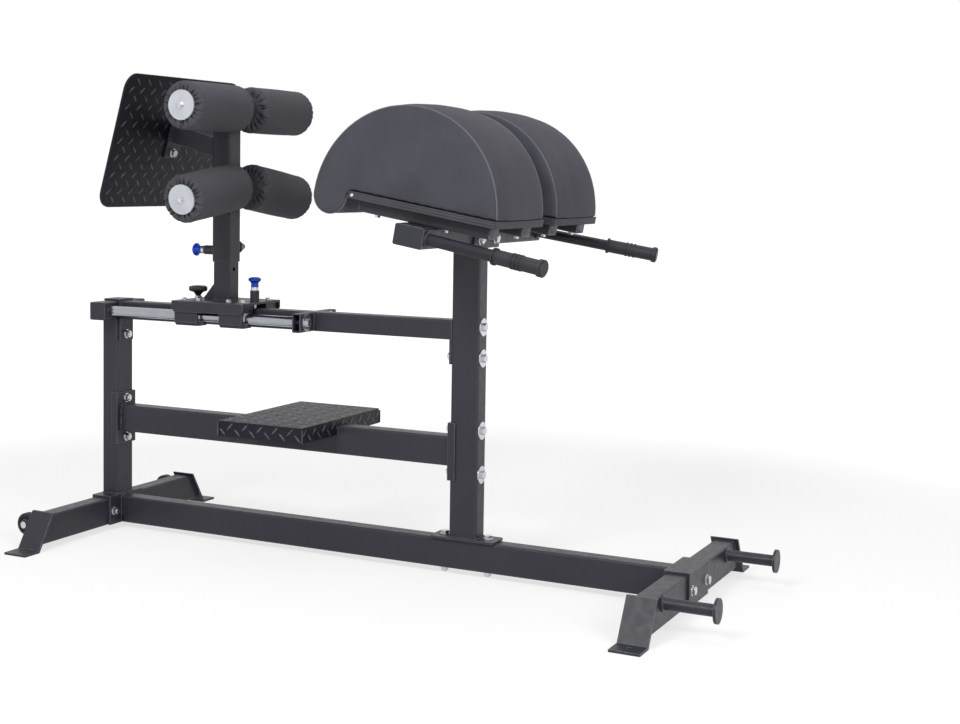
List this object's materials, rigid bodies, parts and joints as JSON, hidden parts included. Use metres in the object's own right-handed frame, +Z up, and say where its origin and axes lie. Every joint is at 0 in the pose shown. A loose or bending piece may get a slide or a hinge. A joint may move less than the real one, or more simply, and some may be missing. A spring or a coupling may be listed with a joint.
{
  "type": "glute ham developer",
  "caption": "Glute ham developer bench with twin curved thigh pads, side handles, ankle rollers and a foot plate on a sliding, height-adjustable post.",
  "frame": {"origin": "on the floor under the middle of the overall length and width", "axes": "+X from the foot plate towards the handles, +Y to the left, +Z up"},
  "size_m": [1.897, 0.884, 1.2636],
  "materials": {
    "black_steel": "matte",
    "zinc_steel": "satin",
    "bright_steel": "polished",
    "padding": "woven",
    "board": "fabric covered",
    "grip_rubber": "matte",
    "wheel_rubber": "matte",
    "blue_knob": "satin",
    "black_plastic": "matte",
    "grey_disc": "satin"
  },
  "bodies": {
    "frame": {"base_beam": "black_steel", "rear_cross_base": "black_steel", "front_cross_base": "black_steel", "storage_pegs": "black_steel", "base_bolts": "zinc_steel", "wheel_axles": "zinc_steel", "rear_upright": "black_steel", "main_upright": "black_steel", "upright_foot_bolts": "zinc_steel", "lower_beam": "black_steel", "lower_beam_bolts": "zinc_steel", "upper_beam": "black_steel", "upper_beam_bolts": "zinc_steel", "rear_rod_tube": "black_steel", "front_rod_tubes": "black_steel", "guide_rods": "bright_steel", "rod_bolts": "zinc_steel", "step_plate": "black_steel", "handle_beam": "black_steel", "handle_beam_caps": "black_plastic", "saddle_bolts": "zinc_steel", "pad_rails": "black_steel", "pad_bolts": "zinc_steel", "pad_board_left": "board", "pad_board_right": "board", "thigh_pad_left": "padding", "thigh_pad_right": "padding", "handle_left": "black_steel", "handle_right": "black_steel", "handle_grip_left": "grip_rubber", "handle_grip_right": "grip_rubber"},
    "carriage": {"carriage_plate": "black_steel", "bearing_blocks": "black_steel", "linear_bushes": "bright_steel", "block_screws": "zinc_steel", "inner_post": "black_steel", "carriage_pin_housing": "black_steel", "brake_nut": "zinc_steel"},
    "carriage_pin": {"carriage_pin": "zinc_steel", "carriage_pin_knob": "blue_knob"},
    "brake_knob": {"brake_knob": "black_plastic"},
    "foot_post": {"outer_post": "black_steel", "post_cap": "black_plastic", "foot_plate": "black_steel", "foot_plate_bolts": "zinc_steel", "post_pin_housing": "black_steel", "upper_axle": "bright_steel", "lower_axle": "bright_steel", "roller_end_discs": "grey_disc", "roller_end_bolts": "zinc_steel"},
    "post_pin": {"post_pin": "zinc_steel", "post_pin_knob": "blue_knob"},
    "clamp_knob": {"clamp_knob": "black_plastic"},
    "roller_upper_left": {"roller_upper_left": "padding"},
    "roller_upper_right": {"roller_upper_right": "padding"},
    "roller_lower_left": {"roller_lower_left": "padding"},
    "roller_lower_right": {"roller_lower_right": "padding"},
    "transport_wheel_left": {"transport_wheel_left": "wheel_rubber"},
    "transport_wheel_right": {"transport_wheel_right": "wheel_rubber"}
  },
  "joints": [
    {"name": "carriage_slide", "type": "slide", "parent": "frame", "child": "carriage", "axis": [1, 0, 0], "range_m": [-0.2, 0.1]},
    {"name": "carriage_pin_pull", "type": "slide", "parent": "carriage", "child": "carriage_pin", "axis": [0, 0, 1], "range_m": [0, 0.014], "stiffness_N_per_m": 1500, "springref_m": -0.01},
    {"name": "brake_turn", "type": "hinge", "parent": "carriage", "child": "brake_knob", "pos_m": [-0.5845, 0, 0.68], "axis": [0, 0, 1], "range_deg": [0, 360]},
    {"name": "foot_post_slide", "type": "slide", "parent": "carriage", "child": "foot_post", "axis": [0, 0, 1], "range_m": [-0.05, 0.25]},
    {"name": "post_pin_pull", "type": "slide", "parent": "foot_post", "child": "post_pin", "axis": [-1, 0, 0], "range_m": [0, 0.018], "stiffness_N_per_m": 1500, "springref_m": -0.01},
    {"name": "clamp_turn", "type": "hinge", "parent": "foot_post", "child": "clamp_knob", "pos_m": [-0.4935, 0.05, 0.804], "axis": [0, 1, 0], "range_deg": [0, 360]},
    {"name": "roller_upper_left_spin", "type": "hinge", "parent": "foot_post", "child": "roller_upper_left", "pos_m": [-0.4445, 0.15, 1.176], "axis": [0, 1, 0], "continuous": true},
    {"name": "roller_upper_right_spin", "type": "hinge", "parent": "foot_post", "child": "roller_upper_right", "pos_m": [-0.4445, -0.15, 1.176], "axis": [0, 1, 0], "continuous": true},
    {"name": "roller_lower_left_spin", "type": "hinge", "parent": "foot_post", "child": "roller_lower_left", "pos_m": [-0.4445, 0, 0.974], "axis": [0, 0.9914, -0.1305], "continuous": true},
    {"name": "roller_lower_right_spin", "type": "hinge", "parent": "foot_post", "child": "roller_lower_right", "pos_m": [-0.4445, 0, 0.974], "axis": [0, 0.9914, 0.1305], "continuous": true},
    {"name": "transport_wheel_left_spin", "type": "hinge", "parent": "frame", "child": "transport_wheel_left", "pos_m": [-0.9185, 0.317, 0.056], "axis": [0, 1, 0], "continuous": true},
    {"name": "transport_wheel_right_spin", "type": "hinge", "parent": "frame", "child": "transport_wheel_right", "pos_m": [-0.9185, -0.317, 0.056], "axis": [0, 1, 0], "continuous": true}
  ]
}
